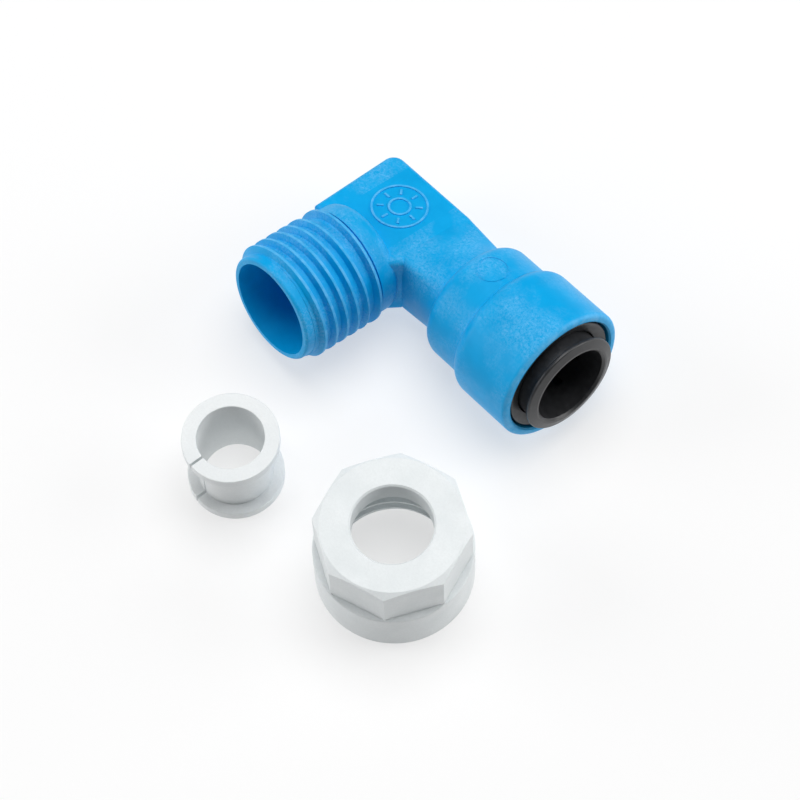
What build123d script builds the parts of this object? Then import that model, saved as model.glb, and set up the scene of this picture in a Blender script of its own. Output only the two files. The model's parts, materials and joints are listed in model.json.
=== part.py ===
from build123d import *
import os
from math import asin, cos, hypot, pi, sin, sqrt, tan

# A push-in pipe elbow with a male thread on its other arm, and the thread's own loose gland nut
# and split bush, laid out on a table. All lengths are in millimetres, and +Z is up from the table.
#
# Places along an arm are distances from the crossing of the two arms' axes, and radii are from
# that arm's axis. The socket arm heads along +X and the thread arm along -Y, each rising a little,
# because the elbow lies on its side on its round shoulders.

# Square block at the bend
BLOCK_HALF_HEIGHT = 6.7
BLOCK_BACK = 11.5
BLOCK_SIDE = 8.6
BLOCK_FRONT = 10.8
BLOCK_INNER = 8.2
BLOCK_REACH = 11.6
BLOCK_WAIST = 10.5
CORNER_ROUND = 2.5
EDGE_ROUND = 1.2
WATERWAY_R = 4.8
WATERWAY_END = 5.2

# Socket arm, outside
NECK_R = 9.5
NECK_OVERLAP = 0.5
COLLAR_START = 20.2
COLLAR_R = 12.05
COLLAR_RAMP = 0.7
COLLAR_ROUND = 2.8
RING_START = 29.9
RING_R = 13.6
RING_RAMP = 0.9
RING_ROUND = 3.0
RIM = 44.9
RIM_ROUND = 0.9

# Socket arm, inside
TUBE_R = 7.5
TUBE_STOP = 17.5
GUIDE_R = 7.65
SEAL_START = 22.0
SEAL_R = 10.25
MOUTH_START = 31.2
MOUTH_R = 11.85

# Seal and its washer
SEAL_SECTION_R = 1.4
WASHER_START = 25.0
WASHER_THICK = 2.0
WASHER_R = 10.15
WASHER_BORE_R = 7.7

# Retaining ring in the mouth
RING_GAP = 0.05
INSERT_NOSE_START = 42.0
INSERT_NOSE_R = 11.45
INSERT_FACE = 44.5
INSERT_SLOPE = 0.8
THROAT_R = 9.15
THROAT_START = 41.0
CAGE_R = 11.0
CAGE_END = 35.0

# Collet
COLLET_TAIL = 29.6
COLLET_TAIL_R = 9.8
BARB_START = 34.3
BARB_R = 10.6
BARB_FLAT = 0.65
COLLET_NECK_R = 8.95
COLLET_BORE_R = 7.6
FINGER_BORE_R = 7.9
FINGER_END = 40.0
FLANGE_START = 46.5
FLANGE_FACE = 47.8
FLANGE_R = 10.0
FLANGE_ROUND = 0.35
FLANGE_SLOPE = 0.5
BORE_CHAMFER = 0.4
FINGERS = 8
SLOT_WIDTH = 1.3
SLOT_END = 42.2

# Grip teeth, one in each finger, leaning towards the tube stop
TOOTH_THICK = 0.5
TOOTH_WIDTH = 3.2
TOOTH_LEAN = 28.0
TOOTH_TIP_R = 7.42
TOOTH_ROOT_R = 9.3
TOOTH_PLACE = 36.6
POCKET_GAP = 0.02

# Thread arm
BOSS_START = 8.4
BOSS_R = 11.0
BOSS_ROUND = 2.3
RELIEF_START = 13.0
RELIEF_R = 10.5
LAND_START = 13.7
LAND_WIDTH = 0.5
CREST_R = 11.7
ROOT_R = 10.6
THREAD_END = 27.9
NOSE_START = 28.6
NOSE_R = 10.5
NOSE_END = 30.5
NOSE_ROUND = 0.55
NOSE_BORE_R = 9.3
NOSE_BORE_START = 12.4
PITCH = 2.54
CREST_FLAT = 0.5
ROOT_FLAT = 1.0
FIRST_GROOVE = 15.45
GROOVE_END = 29.45
RUNOUT_R = 10.4
RUNOUT_SLOPE = 0.5
RUNOUT_FLAT = 1.5
OVERCUT = 0.3

# Raised mark on the block's flat top and round witness mark on the collar
MARK_R = 5.4
MARK_LINE = 0.4
MARK_HEIGHT = 0.2
MARK_INNER_R = 2.2
MARK_TICKS = 8
MARK_TICK_LENGTH = 1.3
WITNESS_R = 3.0
WITNESS_PLACE = 25.6
WITNESS_LINE = 0.3
WITNESS_HEIGHT = 0.1

# Gland nut, standing on its open end
NUT_FROM_CROSSING = (48.0, -42.7)
NUT_HEIGHT = 19.7
SKIRT_R = 14.35
SKIRT_HEIGHT = 10.2
HEAD_SIDES = 8
HEAD_R = 14.05
HEAD_TURN = -2.0
HEAD_TOP_R = 12.7
HEAD_BEVEL_DROP = 0.95
LIP_THICK = 4.6
NUT_HOLE_R = 7.3
NUT_MINOR_R = 10.95
NUT_MAJOR_R = 12.0
SMALL_CHAMFER = 0.3

# Split bush, standing on one flange
BUSH_FROM_CROSSING = (14.9, -52.1)
BUSH_HEIGHT = 15.7
BUSH_FLANGE_R = 8.8
BUSH_FLANGE_THICK = 2.0
BUSH_NECK_R = 6.75
BUSH_BORE_R = 6.1
BUSH_SLIT = 0.5
BUSH_SLIT_TURN = -93.0

# Where the ring's rounded shoulder becomes its full radius
RAMP_TURN = asin(RING_RAMP / hypot(RING_RAMP, RING_R - COLLAR_R))
RING_SHOULDER = RING_START + RING_RAMP + RING_ROUND * tan((pi / 2 - RAMP_TURN) / 2)


def resting_pose():
    """The sines of the two arms' rises and the crossing's height, when the elbow lies on the table.

    It touches at the socket ring's shoulder, at the thread's land and at the block's outer corner.
    """
    socket_rise = 0.0
    thread_rise = 0.0
    for _ in range(100):
        upright = sqrt(1 - socket_rise**2 - thread_rise**2)
        height = (
            (BLOCK_HALF_HEIGHT - EDGE_ROUND) * upright
            + (BLOCK_BACK - CORNER_ROUND) * socket_rise
            + (BLOCK_SIDE - CORNER_ROUND) * thread_rise
            + (CORNER_ROUND - EDGE_ROUND) * hypot(socket_rise, thread_rise)
            + EDGE_ROUND
        )
        shoulder = (RING_R - RING_ROUND) * sqrt(1 - socket_rise**2) + RING_ROUND
        socket_rise = (shoulder - height) / RING_SHOULDER
        thread_rise = (CREST_R * sqrt(1 - thread_rise**2) - height) / LAND_START
    return socket_rise, thread_rise, height


SOCKET_RISE, THREAD_RISE, CROSSING_HEIGHT = resting_pose()
ROLL = asin(THREAD_RISE / sqrt(1 - SOCKET_RISE**2))
LEVEL = sqrt(1 - SOCKET_RISE**2)
socket_axis = Vector(LEVEL, 0, SOCKET_RISE)
thread_axis = Vector(-sin(ROLL) * SOCKET_RISE, -cos(ROLL), sin(ROLL) * LEVEL)
block_up = Vector(-cos(ROLL) * SOCKET_RISE, sin(ROLL), cos(ROLL) * LEVEL)

# The origin is at the middle of the whole set's footprint, on the table
WEST = THREAD_END * thread_axis.X - CREST_R * sqrt(1 - thread_axis.X**2)
EAST = NUT_FROM_CROSSING[0] + SKIRT_R
SOUTH = BUSH_FROM_CROSSING[1] - BUSH_FLANGE_R
NORTH = RING_R
crossing = Vector(-(WEST + EAST) / 2, -(SOUTH + NORTH) / 2, CROSSING_HEIGHT)

ELBOW = Plane(origin=crossing, x_dir=socket_axis, z_dir=block_up)
SOCKET = Plane(origin=crossing, x_dir=block_up, z_dir=socket_axis)
THREAD = Plane(origin=crossing, x_dir=socket_axis, z_dir=thread_axis)
SOCKET_SECTION = ELBOW
THREAD_SECTION = Plane(origin=crossing, x_dir=thread_axis, z_dir=block_up)
SOCKET_LINE = Axis(crossing, socket_axis)
THREAD_LINE = Axis(crossing, thread_axis)
NUT_FOOT = Plane(origin=(crossing.X + NUT_FROM_CROSSING[0], crossing.Y + NUT_FROM_CROSSING[1], 0))
BUSH_FOOT = Plane(origin=(crossing.X + BUSH_FROM_CROSSING[0], crossing.Y + BUSH_FROM_CROSSING[1], 0))
NUT_LINE = Axis(NUT_FOOT.origin, (0, 0, 1))
BUSH_LINE = Axis(BUSH_FOOT.origin, (0, 0, 1))
NUT_SECTION = Plane(origin=NUT_FOOT.origin, x_dir=(0, 0, 1), z_dir=(0, -1, 0))
BUSH_SECTION = Plane(origin=BUSH_FOOT.origin, x_dir=(0, 0, 1), z_dir=(0, -1, 0))


def round_corner(sketch, place, radius, size):
    """Rounds the one corner of an open sketch that is at a place and radius."""
    fillet(sketch.vertices().sort_by_distance((place, radius, 0))[0], size)


def helical_groove(turns_height, helix_r, depth, bottom_width, top_width):
    """A solid that cuts a right-hand thread groove around +Z, as deep as given from the helix outwards."""
    with BuildPart() as groove:
        with BuildLine() as turns:
            Helix(pitch=PITCH, height=turns_height, radius=helix_r)
        with BuildSketch(Plane(origin=turns.line @ 0, x_dir=(1, 0, 0), z_dir=turns.line % 0)) as section:
            Polygon(
                (0, -bottom_width / 2),
                (depth, -top_width / 2),
                (depth, top_width / 2),
                (0, bottom_width / 2),
                align=None,
            )
        sweep(sections=section.sketch, path=turns.line, is_frenet=True)
    return groove.part


os.makedirs("parts", exist_ok=True)

THREAD_DEPTH = CREST_R - ROOT_R
GROOVE_WIDTH = PITCH - CREST_FLAT
FLANK_SPREAD = (GROOVE_WIDTH - ROOT_FLAT) / THREAD_DEPTH

with BuildPart() as elbow_body:
    # Block, a little wider at its back corner
    with BuildSketch(ELBOW.offset(-BLOCK_HALF_HEIGHT)):
        Polygon(
            (-BLOCK_BACK, BLOCK_SIDE),
            (BLOCK_FRONT, BLOCK_SIDE),
            (BLOCK_FRONT, -BLOCK_INNER),
            (BLOCK_FRONT - 2 * EDGE_ROUND, -BLOCK_REACH),
            (-BLOCK_WAIST, -BLOCK_REACH),
            align=None,
        )
    extrude(amount=2 * BLOCK_HALF_HEIGHT)
    upright_edges = elbow_body.edges().filter_by(Axis(crossing, block_up))
    outer_corner = ELBOW.from_local_coords((-BLOCK_BACK, BLOCK_SIDE, 0))
    fillet(upright_edges.sort_by_distance(outer_corner)[0], CORNER_ROUND)
    long_edges = elbow_body.faces().filter_by(ELBOW).edges()
    fillet(long_edges, EDGE_ROUND)

    # Blend from the block to the round neck
    with BuildSketch(SOCKET.offset(BLOCK_FRONT - EDGE_ROUND)):
        with Locations((0, (BLOCK_INNER - BLOCK_SIDE) / 2)):
            RectangleRounded(2 * BLOCK_HALF_HEIGHT, BLOCK_INNER + BLOCK_SIDE, EDGE_ROUND)
    with BuildSketch(SOCKET.offset(COLLAR_START + COLLAR_RAMP / 2)):
        Circle(NECK_R)
    loft()

    # Collar and ring of the socket
    with BuildSketch(SOCKET_SECTION) as socket_outside:
        Polygon(
            (COLLAR_START, 0),
            (COLLAR_START, NECK_R - NECK_OVERLAP),
            (COLLAR_START + COLLAR_RAMP, COLLAR_R),
            (RING_START, COLLAR_R),
            (RING_START + RING_RAMP, RING_R),
            (RIM, RING_R),
            (RIM, 0),
            align=None,
        )
        round_corner(socket_outside, COLLAR_START + COLLAR_RAMP, COLLAR_R, COLLAR_ROUND)
        round_corner(socket_outside, RING_START + RING_RAMP, RING_R, RING_ROUND)
        round_corner(socket_outside, RIM, RING_R, RIM_ROUND)
    revolve(axis=SOCKET_LINE)

    # Boss, thread blank and nose
    with BuildSketch(THREAD_SECTION) as thread_outside:
        Polygon(
            (BOSS_START, 0),
            (BOSS_START, BOSS_R),
            (RELIEF_START, BOSS_R),
            (RELIEF_START, RELIEF_R),
            (LAND_START, RELIEF_R),
            (LAND_START, CREST_R),
            (THREAD_END, CREST_R),
            (NOSE_START, NOSE_R),
            (NOSE_END, NOSE_R),
            (NOSE_END, 0),
            align=None,
        )
        round_corner(thread_outside, BOSS_START, BOSS_R, BOSS_ROUND)
        round_corner(thread_outside, NOSE_END, NOSE_R, NOSE_ROUND)
    revolve(axis=THREAD_LINE)

    # Ring-shaped groove next to the land, which the helical groove runs out of
    with BuildSketch(THREAD_SECTION):
        Polygon(
            (LAND_START + LAND_WIDTH, CREST_R + OVERCUT),
            (LAND_START + LAND_WIDTH, CREST_R),
            (LAND_START + LAND_WIDTH + RUNOUT_SLOPE, RUNOUT_R),
            (LAND_START + LAND_WIDTH + RUNOUT_SLOPE + RUNOUT_FLAT, RUNOUT_R),
            (LAND_START + LAND_WIDTH + 2 * RUNOUT_SLOPE + RUNOUT_FLAT, CREST_R),
            (LAND_START + LAND_WIDTH + 2 * RUNOUT_SLOPE + RUNOUT_FLAT, CREST_R + OVERCUT),
            align=None,
        )
    revolve(axis=THREAD_LINE, mode=Mode.SUBTRACT)
    male_groove = helical_groove(
        GROOVE_END - FIRST_GROOVE,
        ROOT_R,
        THREAD_DEPTH + OVERCUT,
        ROOT_FLAT,
        GROOVE_WIDTH + FLANK_SPREAD * OVERCUT,
    )
    add(male_groove.moved(THREAD.offset(FIRST_GROOVE).location), mode=Mode.SUBTRACT)

    # Waterway, and the two arms' stepped bores
    with BuildSketch(THREAD_SECTION):
        Polygon(
            (0, 0),
            (0, WATERWAY_R),
            (NOSE_BORE_START - (NOSE_BORE_R - WATERWAY_R) / 3, WATERWAY_R),
            (NOSE_BORE_START, NOSE_BORE_R),
            (NOSE_END, NOSE_BORE_R),
            (NOSE_END, 0),
            align=None,
        )
    revolve(axis=THREAD_LINE, mode=Mode.SUBTRACT)
    with BuildSketch(SOCKET_SECTION):
        Polygon(
            (-WATERWAY_END, 0),
            (-WATERWAY_END, WATERWAY_R),
            (TUBE_STOP, WATERWAY_R),
            (TUBE_STOP, GUIDE_R),
            (SEAL_START, GUIDE_R),
            (SEAL_START, SEAL_R),
            (MOUTH_START, SEAL_R),
            (MOUTH_START, MOUTH_R),
            (RIM - SMALL_CHAMFER, MOUTH_R),
            (RIM, MOUTH_R + SMALL_CHAMFER),
            (RIM, 0),
            align=None,
        )
    revolve(axis=SOCKET_LINE, mode=Mode.SUBTRACT)

    # Raised plain ring, inner ring and ticks on the flat top
    with BuildSketch(ELBOW.offset(BLOCK_HALF_HEIGHT)):
        Circle(MARK_R)
        Circle(MARK_R - MARK_LINE, mode=Mode.SUBTRACT)
        Circle(MARK_INNER_R)
        Circle(MARK_INNER_R - MARK_LINE, mode=Mode.SUBTRACT)
        with PolarLocations((MARK_R + MARK_INNER_R - MARK_LINE) / 2, MARK_TICKS):
            Rectangle(MARK_TICK_LENGTH, MARK_LINE)
    extrude(amount=MARK_HEIGHT)

# Round witness line standing a little above the collar
with BuildPart() as witness:
    with BuildSketch(ELBOW.offset(COLLAR_R / 2)):
        with Locations((WITNESS_PLACE, 0)):
            Circle(WITNESS_R)
            Circle(WITNESS_R - WITNESS_LINE, mode=Mode.SUBTRACT)
    extrude(amount=COLLAR_R)
    with BuildSketch(SOCKET.offset(COLLAR_START)):
        Circle(COLLAR_R + WITNESS_HEIGHT)
        Circle(COLLAR_R - WITNESS_HEIGHT, mode=Mode.SUBTRACT)
    extrude(amount=RING_START - COLLAR_START, mode=Mode.INTERSECT)

with BuildPart() as whole_elbow:
    add(elbow_body.part)
    add(witness.part)
whole_elbow.part.label = "elbow_body"
export_step(whole_elbow.part, "parts/elbow_body.step")

with BuildPart() as o_ring:
    with BuildSketch(SOCKET_SECTION):
        with Locations((SEAL_START + 0.1 + SEAL_SECTION_R, SEAL_R - RING_GAP - SEAL_SECTION_R)):
            Circle(SEAL_SECTION_R)
    revolve(axis=SOCKET_LINE)
o_ring.part.label = "o_ring"
export_step(o_ring.part, "parts/o_ring.step")

with BuildPart() as spacer_washer:
    with BuildSketch(SOCKET.offset(WASHER_START)):
        Circle(WASHER_R)
        Circle(WASHER_BORE_R, mode=Mode.SUBTRACT)
    extrude(amount=WASHER_THICK)
    chamfer(spacer_washer.edges().filter_by(GeomType.CIRCLE), SMALL_CHAMFER)
spacer_washer.part.label = "spacer_washer"
export_step(spacer_washer.part, "parts/spacer_washer.step")

with BuildPart() as retaining_ring:
    with BuildSketch(SOCKET_SECTION) as ring_section:
        Polygon(
            (MOUTH_START + RING_GAP, CAGE_R),
            (MOUTH_START + RING_GAP, MOUTH_R - RING_GAP),
            (INSERT_NOSE_START, MOUTH_R - RING_GAP),
            (INSERT_NOSE_START + SMALL_CHAMFER, INSERT_NOSE_R),
            (INSERT_FACE, INSERT_NOSE_R),
            (INSERT_FACE - INSERT_SLOPE, THROAT_R),
            (THROAT_START, THROAT_R),
            (CAGE_END, CAGE_R),
            align=None,
        )
        round_corner(ring_section, INSERT_FACE, INSERT_NOSE_R, SMALL_CHAMFER)
        round_corner(ring_section, INSERT_FACE - INSERT_SLOPE, THROAT_R, SMALL_CHAMFER)
    revolve(axis=SOCKET_LINE)
retaining_ring.part.label = "retaining_ring"
export_step(retaining_ring.part, "parts/retaining_ring.step")

# Barb and cage share one slope, so that a pulled collet closes evenly
CAGE_SLOPE = (CAGE_R - THROAT_R) / (THROAT_START - CAGE_END)
BARB_END = BARB_START + BARB_FLAT
CONE_END = BARB_END + (BARB_R - COLLET_NECK_R) / CAGE_SLOPE


def tooth_plate(finger, gap):
    """A finger's leaning steel plate, or with a gap the pocket that holds it."""
    outward = block_up.rotate(SOCKET_LINE, 360 * finger / FINGERS)
    around = socket_axis.cross(outward)
    length = (TOOTH_ROOT_R - TOOTH_TIP_R) / cos(TOOTH_LEAN * pi / 180) + gap
    along = outward * cos(TOOTH_LEAN * pi / 180) + socket_axis * sin(TOOTH_LEAN * pi / 180)
    tip = crossing + outward * TOOTH_TIP_R + socket_axis * (
        TOOTH_PLACE - (TOOTH_ROOT_R - TOOTH_TIP_R) * tan(TOOTH_LEAN * pi / 180)
    )
    with BuildPart() as plate:
        with BuildSketch(Plane(origin=tip, x_dir=around, z_dir=along)):
            Rectangle(TOOTH_WIDTH + 2 * gap, TOOTH_THICK + 2 * gap)
        extrude(amount=length)
    return plate.part


tooth_pockets = [tooth_plate(finger, POCKET_GAP) for finger in range(FINGERS)]

with BuildPart() as collet:
    with BuildSketch(SOCKET_SECTION) as collet_section:
        Polygon(
            (COLLET_TAIL, FINGER_BORE_R),
            (COLLET_TAIL, COLLET_TAIL_R),
            (BARB_START - SMALL_CHAMFER, COLLET_TAIL_R),
            (BARB_START, BARB_R),
            (BARB_END, BARB_R),
            (CONE_END, COLLET_NECK_R),
            (FLANGE_START, COLLET_NECK_R),
            (FLANGE_START, FLANGE_R),
            (FLANGE_FACE - FLANGE_SLOPE, FLANGE_R),
            (FLANGE_FACE, COLLET_BORE_R + 2 * BORE_CHAMFER),
            (FLANGE_FACE, COLLET_BORE_R + BORE_CHAMFER),
            (FLANGE_FACE - BORE_CHAMFER, COLLET_BORE_R),
            (FINGER_END + SMALL_CHAMFER, COLLET_BORE_R),
            (FINGER_END, FINGER_BORE_R),
            align=None,
        )
        round_corner(collet_section, FLANGE_FACE - FLANGE_SLOPE, FLANGE_R, FLANGE_ROUND)
        round_corner(collet_section, FLANGE_START, FLANGE_R, FLANGE_ROUND)
    revolve(axis=SOCKET_LINE)
    # Slots between the fingers, open at the tail
    with BuildSketch(SOCKET.offset(COLLET_TAIL)):
        with PolarLocations((FINGER_BORE_R + BARB_R) / 2, FINGERS, start_angle=180 / FINGERS):
            Rectangle(BARB_R, SLOT_WIDTH)
    extrude(amount=SLOT_END - COLLET_TAIL, mode=Mode.SUBTRACT)
    add(tooth_pockets, mode=Mode.SUBTRACT)
collet.part.label = "collet"
export_step(collet.part, "parts/collet.step")

for finger in range(FINGERS):
    with BuildPart() as grip_tooth:
        add(tooth_plate(finger, 0))
    grip_tooth.part.label = f"grip_tooth_{finger + 1}"
    export_step(grip_tooth.part, f"parts/grip_tooth_{finger + 1}.step")

with BuildPart() as gland_nut:
    # Round skirt
    with BuildSketch(NUT_FOOT):
        Circle(SKIRT_R)
    extrude(amount=SKIRT_HEIGHT)
    chamfer(gland_nut.edges().group_by(Axis.Z)[0], SMALL_CHAMFER)
    fillet(gland_nut.edges().group_by(Axis.Z)[-1], SMALL_CHAMFER)
    # Octagonal head, its top corners bevelled off by a cone
    with BuildSketch(NUT_FOOT.offset(SKIRT_HEIGHT)):
        RegularPolygon(HEAD_R, HEAD_SIDES, rotation=HEAD_TURN)
    extrude(amount=NUT_HEIGHT - SKIRT_HEIGHT)
    with BuildSketch(NUT_SECTION):
        Polygon(
            (NUT_HEIGHT - HEAD_BEVEL_DROP, HEAD_R + OVERCUT),
            (NUT_HEIGHT, HEAD_TOP_R),
            (NUT_HEIGHT + OVERCUT, HEAD_TOP_R),
            (NUT_HEIGHT + OVERCUT, HEAD_R + OVERCUT),
            align=None,
        )
    revolve(axis=NUT_LINE, mode=Mode.SUBTRACT)
    # Threaded bore and the hole in the lip
    with BuildSketch(NUT_SECTION):
        Polygon(
            (0, 0),
            (0, NUT_MAJOR_R),
            (NUT_MAJOR_R - NUT_MINOR_R, NUT_MINOR_R),
            (NUT_HEIGHT - LIP_THICK, NUT_MINOR_R),
            (NUT_HEIGHT - LIP_THICK, NUT_HOLE_R),
            (NUT_HEIGHT - SMALL_CHAMFER, NUT_HOLE_R),
            (NUT_HEIGHT, NUT_HOLE_R + SMALL_CHAMFER),
            (NUT_HEIGHT, 0),
            align=None,
        )
    revolve(axis=NUT_LINE, mode=Mode.SUBTRACT)
    female_groove = helical_groove(
        NUT_HEIGHT - LIP_THICK,
        NUT_MINOR_R - OVERCUT,
        NUT_MAJOR_R - NUT_MINOR_R + OVERCUT,
        GROOVE_WIDTH + FLANK_SPREAD * OVERCUT,
        ROOT_FLAT,
    )
    add(female_groove.moved(NUT_FOOT.offset(-PITCH).location), mode=Mode.SUBTRACT)
gland_nut.part.label = "gland_nut"
export_step(gland_nut.part, "parts/gland_nut.step")

with BuildPart() as split_bush:
    with BuildSketch(BUSH_SECTION) as bush_section:
        Polygon(
            (0, BUSH_BORE_R),
            (0, BUSH_FLANGE_R),
            (BUSH_FLANGE_THICK, BUSH_FLANGE_R),
            (BUSH_FLANGE_THICK, BUSH_NECK_R),
            (BUSH_HEIGHT - BUSH_FLANGE_THICK, BUSH_NECK_R),
            (BUSH_HEIGHT - BUSH_FLANGE_THICK, BUSH_FLANGE_R),
            (BUSH_HEIGHT, BUSH_FLANGE_R),
            (BUSH_HEIGHT, BUSH_BORE_R),
            align=None,
        )
        fillet(bush_section.vertices(), SMALL_CHAMFER / 2)
    revolve(axis=BUSH_LINE)
    with BuildSketch(BUSH_FOOT):
        with PolarLocations(BUSH_NECK_R, 1, start_angle=BUSH_SLIT_TURN):
            Rectangle(2 * (BUSH_FLANGE_R - BUSH_BORE_R), BUSH_SLIT)
    extrude(amount=BUSH_HEIGHT, mode=Mode.SUBTRACT)
split_bush.part.label = "split_bush"
export_step(split_bush.part, "parts/split_bush.step")
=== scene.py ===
import json
import math

import bpy
from mathutils import Matrix, Vector
from mathutils.geometry import intersect_line_line


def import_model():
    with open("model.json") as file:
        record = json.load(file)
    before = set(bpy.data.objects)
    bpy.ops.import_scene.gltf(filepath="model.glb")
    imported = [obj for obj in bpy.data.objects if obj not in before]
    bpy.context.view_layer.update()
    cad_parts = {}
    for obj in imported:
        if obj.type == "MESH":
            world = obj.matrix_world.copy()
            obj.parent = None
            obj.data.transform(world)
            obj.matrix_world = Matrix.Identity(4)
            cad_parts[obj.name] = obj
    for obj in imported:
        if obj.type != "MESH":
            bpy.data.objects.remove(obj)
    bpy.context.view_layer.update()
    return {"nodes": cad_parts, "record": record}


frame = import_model()

MM = 0.001


# ---------------------------------------------------------------- the elbow's axes


def place(mount):
    """A mount's point and axis in the row frame."""
    found = next(m for m in frame["record"]["mounts"] if m["name"] == mount)
    return Vector(found["pos_m"]), Vector(found["axis"]).normalized()


SOCKET_POINT, SOCKET_AXIS = place("pipe_socket")
THREAD_POINT, THREAD_AXIS = place("male_thread")
BLOCK_UP = THREAD_AXIS.cross(SOCKET_AXIS).normalized()
CROSSING = intersect_line_line(
    SOCKET_POINT, SOCKET_POINT + SOCKET_AXIS, THREAD_POINT, THREAD_POINT + THREAD_AXIS
)[0]

# Where frost and painted highlight show on the elbow. The painted highlight on the high spots is partly
# rubbed wear. Each pair is a distance where it starts to show and one where it shows in full, from an
# arm's axis for a radius, and otherwise from the crossing of the two axes.
FROST_MIN_R = 9.4 * MM
CREST_R = (11.62 * MM, 11.70 * MM)
THREAD_FROM_CROSSING = (13.4 * MM, 13.9 * MM)
MARK_LINES_HEIGHT = (6.74 * MM, 6.88 * MM)
BLOCK_SOCKET_SIDE = (9.0 * MM, 8.0 * MM)
BLOCK_THREAD_SIDE = (8.2 * MM, 7.6 * MM)
RIM_FROM_CROSSING = (44.0 * MM, 44.8 * MM)
RIM_R = (12.0 * MM, 12.6 * MM)

FROST_STRENGTH = 0.5
# Strength of the painted highlight, partly rubbed wear, on the crests, mark lines and socket rim
HIGHLIGHT_AND_RUB_STRENGTH = 0.45
GRAIN_SHADE = 0.86


# ---------------------------------------------------------------- materials


def rgba(value):
    """A grey level or a colour, as a colour socket takes it."""
    return (*value, 1) if isinstance(value, tuple) else (value, value, value, 1)


class Shader:
    """A node material with one Principled shader, and short ways to add what drives it.

    The colour and values it is made with are those of the shader's own sockets. They are the
    piece's plain colour and finish wherever the nodes joined to them aren't read.
    """

    def __init__(self, name, color, **values):
        self.mat = bpy.data.materials.new(name)
        self.mat.use_nodes = True
        self.nodes = self.mat.node_tree.nodes
        self.bsdf = self.nodes["Principled BSDF"]
        self.bsdf.inputs["Base Color"].default_value = rgba(color)
        for key, value in values.items():
            self.bsdf.inputs[key.replace("_", " ")].default_value = value
        self.coord = self.nodes.new("ShaderNodeTexCoord").outputs["Object"]

    def feed(self, socket, value):
        """Joins a node's output to a socket, or sets the socket to a plain value."""
        if isinstance(value, bpy.types.NodeSocket):
            self.mat.node_tree.links.new(value, socket)
        else:
            socket.default_value = value

    def noise(self, scale, detail=3.0, rough=0.5, stretch=(1, 1, 1), shift=0.0):
        """Noise over the piece's own coordinates, which are in metres."""
        mapping = self.nodes.new("ShaderNodeMapping")
        mapping.inputs["Scale"].default_value = stretch
        mapping.inputs["Location"].default_value = (shift, shift, shift)
        self.feed(mapping.inputs["Vector"], self.coord)
        node = self.nodes.new("ShaderNodeTexNoise")
        node.inputs["Scale"].default_value = scale
        node.inputs["Detail"].default_value = detail
        node.inputs["Roughness"].default_value = rough
        self.feed(node.inputs["Vector"], mapping.outputs["Vector"])
        return node.outputs["Fac"]

    def ramp(self, fac, start, end, low=0.0, high=1.0):
        """Grey levels or colours: low up to start, high from end on."""
        node = self.nodes.new("ShaderNodeValToRGB")
        for element, position, value in zip(node.color_ramp.elements, (start, end), (low, high)):
            element.position = position
            element.color = rgba(value)
        self.feed(node.inputs["Fac"], fac)
        return node.outputs["Color"]

    def mix(self, fac, a, b):
        """Colour a where fac is 0, to colour b where it is 1."""
        node = self.nodes.new("ShaderNodeMix")
        node.data_type = "RGBA"
        self.feed(node.inputs[0], fac)
        for socket, value in ((node.inputs[6], a), (node.inputs[7], b)):
            self.feed(socket, rgba(value) if isinstance(value, tuple) else value)
        return node.outputs[2]

    def math(self, operation, a, b):
        node = self.nodes.new("ShaderNodeMath")
        node.operation = operation
        self.feed(node.inputs[0], a)
        self.feed(node.inputs[1], b)
        return node.outputs["Value"]

    def vector_math(self, operation, a, b):
        node = self.nodes.new("ShaderNodeVectorMath")
        node.operation = operation
        self.feed(node.inputs[0], a)
        self.feed(node.inputs[1], b)
        return node

    def along(self, point, axis):
        """How far a point of the surface is along an axis, from a point on it."""
        away = self.vector_math("SUBTRACT", self.coord, point).outputs["Vector"]
        return self.vector_math("DOT_PRODUCT", away, axis).outputs["Value"]

    def radius(self, point, axis):
        """How far a point of the surface is from an axis."""
        away = self.vector_math("SUBTRACT", self.coord, point).outputs["Vector"]
        across = self.vector_math("CROSS_PRODUCT", away, axis).outputs["Vector"]
        length = self.nodes.new("ShaderNodeVectorMath")
        length.operation = "LENGTH"
        self.feed(length.inputs[0], across)
        return length.outputs["Value"]

    def between(self, value, start, end):
        """0 at start to 1 at end."""
        node = self.nodes.new("ShaderNodeMapRange")
        node.interpolation_type = "SMOOTHSTEP"
        self.feed(node.inputs["Value"], value)
        node.inputs["From Min"].default_value = start
        node.inputs["From Max"].default_value = end
        return node.outputs["Result"]

    def color(self, output):
        self.feed(self.bsdf.inputs["Base Color"], output)

    def roughness(self, output):
        self.feed(self.bsdf.inputs["Roughness"], output)

    def bump(self, *layers):
        """Layers of (height output, distance in metres, strength), laid one over another."""
        before = None
        for output, distance, strength in layers:
            node = self.nodes.new("ShaderNodeBump")
            node.inputs["Distance"].default_value = distance
            node.inputs["Strength"].default_value = strength
            self.feed(node.inputs["Height"], output)
            if before:
                self.feed(node.inputs["Normal"], before)
            before = node.outputs["Normal"]
        self.feed(self.bsdf.inputs["Normal"], before)


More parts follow.
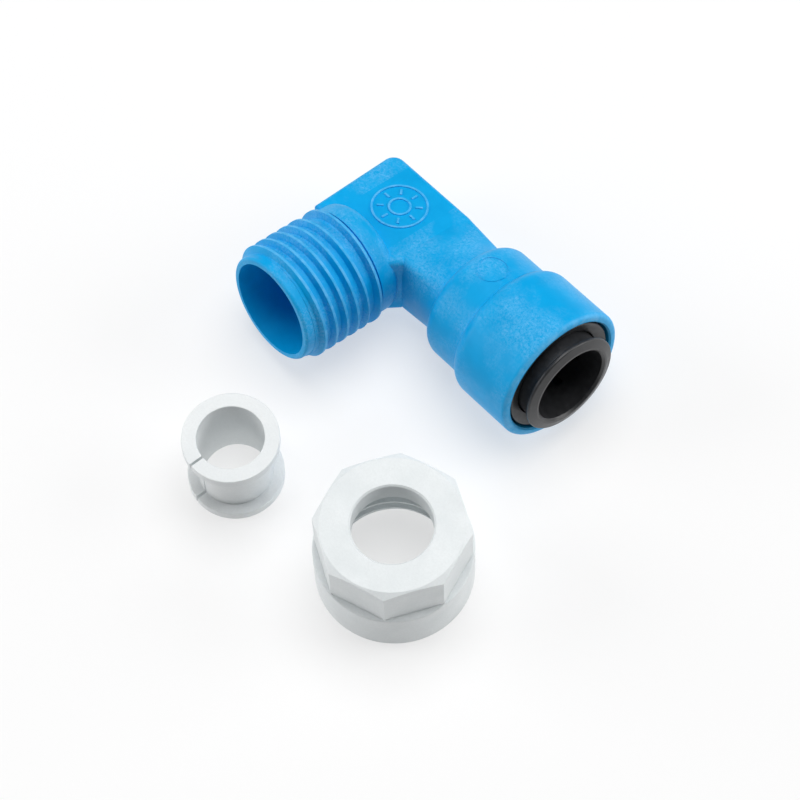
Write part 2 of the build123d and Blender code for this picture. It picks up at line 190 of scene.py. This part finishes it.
def blue_plastic():
    s = Shader("blue_plastic", (0.0, 0.38, 0.77), Roughness=0.42, Specular_IOR_Level=0.16)

    # Base blue, faintly uneven as moulded
    flow = s.noise(240, 4, 0.6, shift=3.0)
    base = s.mix(s.ramp(flow, 0.3, 0.7), (0.0, 0.335, 0.71), (0.0, 0.375, 0.77))

    # Frost: fine scuffs gathered in patches, everywhere but in the thread arm's bore
    patches = s.ramp(s.noise(125, 4, 0.55), 0.43, 0.62)
    scuffs = s.ramp(s.noise(1900, 8, 0.8), 0.42, 0.68)
    outside = s.math("GREATER_THAN", s.radius(THREAD_POINT, THREAD_AXIS), FROST_MIN_R)
    frost = s.math("MULTIPLY", s.math("MULTIPLY", patches, scuffs), outside)

    # Painted highlight, partly rubbed wear, on the high spots: the thread's crests, the raised mark's
    # lines and the socket's rim
    crests = s.math(
        "MULTIPLY",
        s.between(s.radius(THREAD_POINT, THREAD_AXIS), *CREST_R),
        s.between(s.along(CROSSING, THREAD_AXIS), *THREAD_FROM_CROSSING),
    )
    on_block = s.math(
        "MULTIPLY",
        s.between(s.along(CROSSING, SOCKET_AXIS), *BLOCK_SOCKET_SIDE),
        s.between(s.along(CROSSING, THREAD_AXIS), *BLOCK_THREAD_SIDE),
    )
    lines = s.math("MULTIPLY", s.between(s.along(CROSSING, BLOCK_UP), *MARK_LINES_HEIGHT), on_block)
    rim = s.math(
        "MULTIPLY",
        s.between(s.along(CROSSING, SOCKET_AXIS), *RIM_FROM_CROSSING),
        s.between(s.radius(SOCKET_POINT, SOCKET_AXIS), *RIM_R),
    )
    highlight_spots = s.math("MAXIMUM", s.math("MAXIMUM", crests, lines), rim)
    highlight_and_rub = s.math("MULTIPLY", highlight_spots, s.ramp(s.noise(600, 4, 0.6), 0.35, 0.65, 0.25, 1.0))

    frost_and_highlight = s.math(
        "MAXIMUM", s.math("MULTIPLY", frost, FROST_STRENGTH), s.math("MULTIPLY", highlight_and_rub, HIGHLIGHT_AND_RUB_STRENGTH)
    )
    # The lighter blue is frost, and painted highlight on the high spots
    s.color(s.mix(frost_and_highlight, base, (0.24, 0.60, 0.93)))
    s.roughness(s.mix(frost_and_highlight, s.ramp(flow, 0.3, 0.7, 0.36, 0.46), (0.62, 0.62, 0.62)))
    s.bump(
        (s.noise(2600, 3), 0.00003, 0.25),
        (frost, 0.00004, 0.3),
        (s.noise(380, 2), 0.00008, 0.10),
    )
    return s.mat


def black_plastic():
    s = Shader("black_plastic", (0.022, 0.023, 0.025), Roughness=0.34, Specular_IOR_Level=0.5)
    grain = s.noise(900, 4, 0.6)
    s.color(s.ramp(grain, 0.35, 0.7, (0.018, 0.019, 0.021), (0.032, 0.033, 0.036)))
    s.roughness(s.ramp(grain, 0.3, 0.75, 0.28, 0.44))
    s.bump((s.noise(3000, 2), 0.00001, 0.15))
    return s.mat


def grey_plastic(name, color, shade):
    """Pale plastic, clouded between a colour and a darker shade of it, with a fine dark grain."""
    s = Shader(name, color, Roughness=0.5, Specular_IOR_Level=0.35)
    clouds = s.noise(160, 4, 0.5)
    grain = s.noise(2300, 5, 0.7)
    soft = s.mix(s.ramp(clouds, 0.35, 0.68), shade, color)
    s.color(s.mix(s.ramp(grain, 0.35, 0.6, 0.35, 0.0), soft, tuple(GRAIN_SHADE * c for c in color)))
    s.roughness(s.ramp(s.noise(700, 3), 0.3, 0.7, 0.42, 0.58))
    s.bump((grain, 0.00004, 0.45), (s.noise(300, 2), 0.0001, 0.12))
    return s.mat


def rubber():
    s = Shader("seal_rubber", (0.015, 0.015, 0.016), Roughness=0.6)
    grain = s.noise(2200, 3)
    s.color(s.ramp(grain, 0.3, 0.7, (0.010, 0.010, 0.011), (0.024, 0.024, 0.025)))
    s.bump((grain, 0.00003, 0.3))
    return s.mat


def steel():
    s = Shader("tooth_steel", (0.62, 0.62, 0.63), Metallic=1.0, Roughness=0.28)
    grain = s.noise(1500, 3, stretch=(1, 1, 12))
    s.color(s.ramp(grain, 0.3, 0.7, (0.52, 0.52, 0.53), (0.70, 0.70, 0.71)))
    s.roughness(s.ramp(grain, 0.3, 0.7, 0.22, 0.36))
    return s.mat


def paint(mat, *nodes):
    for node in nodes:
        mesh = frame["nodes"][node].data
        mesh.materials.clear()
        mesh.materials.append(mat)


paint(blue_plastic(), "elbow_body")
paint(black_plastic(), "collet", "retaining_ring")
paint(grey_plastic("nut_grey", (0.80, 0.835, 0.845), (0.74, 0.78, 0.79)), "gland_nut", "spacer_washer")
paint(grey_plastic("bush_grey", (0.82, 0.845, 0.85), (0.77, 0.80, 0.81)), "split_bush")
paint(rubber(), "o_ring")
paint(steel(), *(node for node in frame["nodes"] if node.startswith("grip_tooth")))


# ---------------------------------------------------------------- floor, light and camera

FLOOR_SIZE = 3.0
FLOOR_DROP = 0.02 * MM
FLOOR_GLOW = 0.56
WORLD_GLOW = 0.10
WHITE = (1, 1, 1, 1)

# Name, place, size and power of each soft light. All are aimed at the origin.
LIGHTS = [
    ("top", (-0.10, 0.20, 0.90), 0.8, 7.0),
    ("left", (-0.45, -0.42, 0.26), 0.45, 1.9),
    ("right", (0.36, 0.50, 0.26), 0.45, 1.9),
]

AIM = Vector((-1.9, 3.7, 0.0)) * MM
CAMERA_TURN = math.radians(-38.35)
CAMERA_RISE = math.radians(63.56)
CAMERA_DISTANCE = 515.4 * MM
CAMERA_ROLL = math.radians(-2.83)
LENS = 126.0
SENSOR = 36.0
CLIP_START = 0.01


def link(name, data):
    """A new object in the scene."""
    obj = bpy.data.objects.new(name, data)
    bpy.context.scene.collection.objects.link(obj)
    return obj


def floor():
    """A plain pale floor, just under the table height so that it doesn't share a plane with the feet."""
    mesh = bpy.data.meshes.new("floor")
    half = FLOOR_SIZE / 2
    corners = [(-half, -half, 0), (half, -half, 0), (half, half, 0), (-half, half, 0)]
    mesh.from_pydata(corners, [], [(0, 1, 2, 3)])
    obj = link("floor", mesh)
    obj.location.z = -FLOOR_DROP
    s = Shader(
        "floor_white",
        (0.40, 0.40, 0.40),
        Roughness=0.9,
        Specular_IOR_Level=0.1,
        Emission_Color=WHITE,
        Emission_Strength=FLOOR_GLOW,
    )
    s.color(s.ramp(s.noise(4, 2), 0.3, 0.7, 0.39, 0.41))
    mesh.materials.append(s.mat)


def world():
    studio = bpy.data.worlds.new("studio")
    studio.use_nodes = True
    background = studio.node_tree.nodes["Background"]
    background.inputs["Color"].default_value = WHITE
    background.inputs["Strength"].default_value = WORLD_GLOW
    bpy.context.scene.world = studio


def area_light(name, location, size, power):
    data = bpy.data.lights.new(name, "AREA")
    data.shape = "DISK"
    data.size = size
    data.energy = power
    obj = link(name, data)
    obj.location = location
    obj.rotation_euler = (-Vector(location)).to_track_quat("-Z", "Y").to_euler()


def camera():
    data = bpy.data.cameras.new("camera")
    data.lens = LENS
    data.sensor_width = SENSOR
    data.clip_start = CLIP_START
    obj = link("camera", data)
    away = Vector((
        math.cos(CAMERA_RISE) * math.cos(CAMERA_TURN),
        math.cos(CAMERA_RISE) * math.sin(CAMERA_TURN),
        math.sin(CAMERA_RISE),
    ))
    turn = away.to_track_quat("Z", "Y").to_matrix().to_4x4() @ Matrix.Rotation(CAMERA_ROLL, 4, "Z")
    obj.matrix_world = Matrix.Translation(AIM + away * CAMERA_DISTANCE) @ turn
    bpy.context.scene.camera = obj


floor()
world()
for light in LIGHTS:
    area_light(*light)
camera()
bpy.context.scene.view_settings.view_transform = "Standard"
bpy.context.scene.view_settings.look = "None"
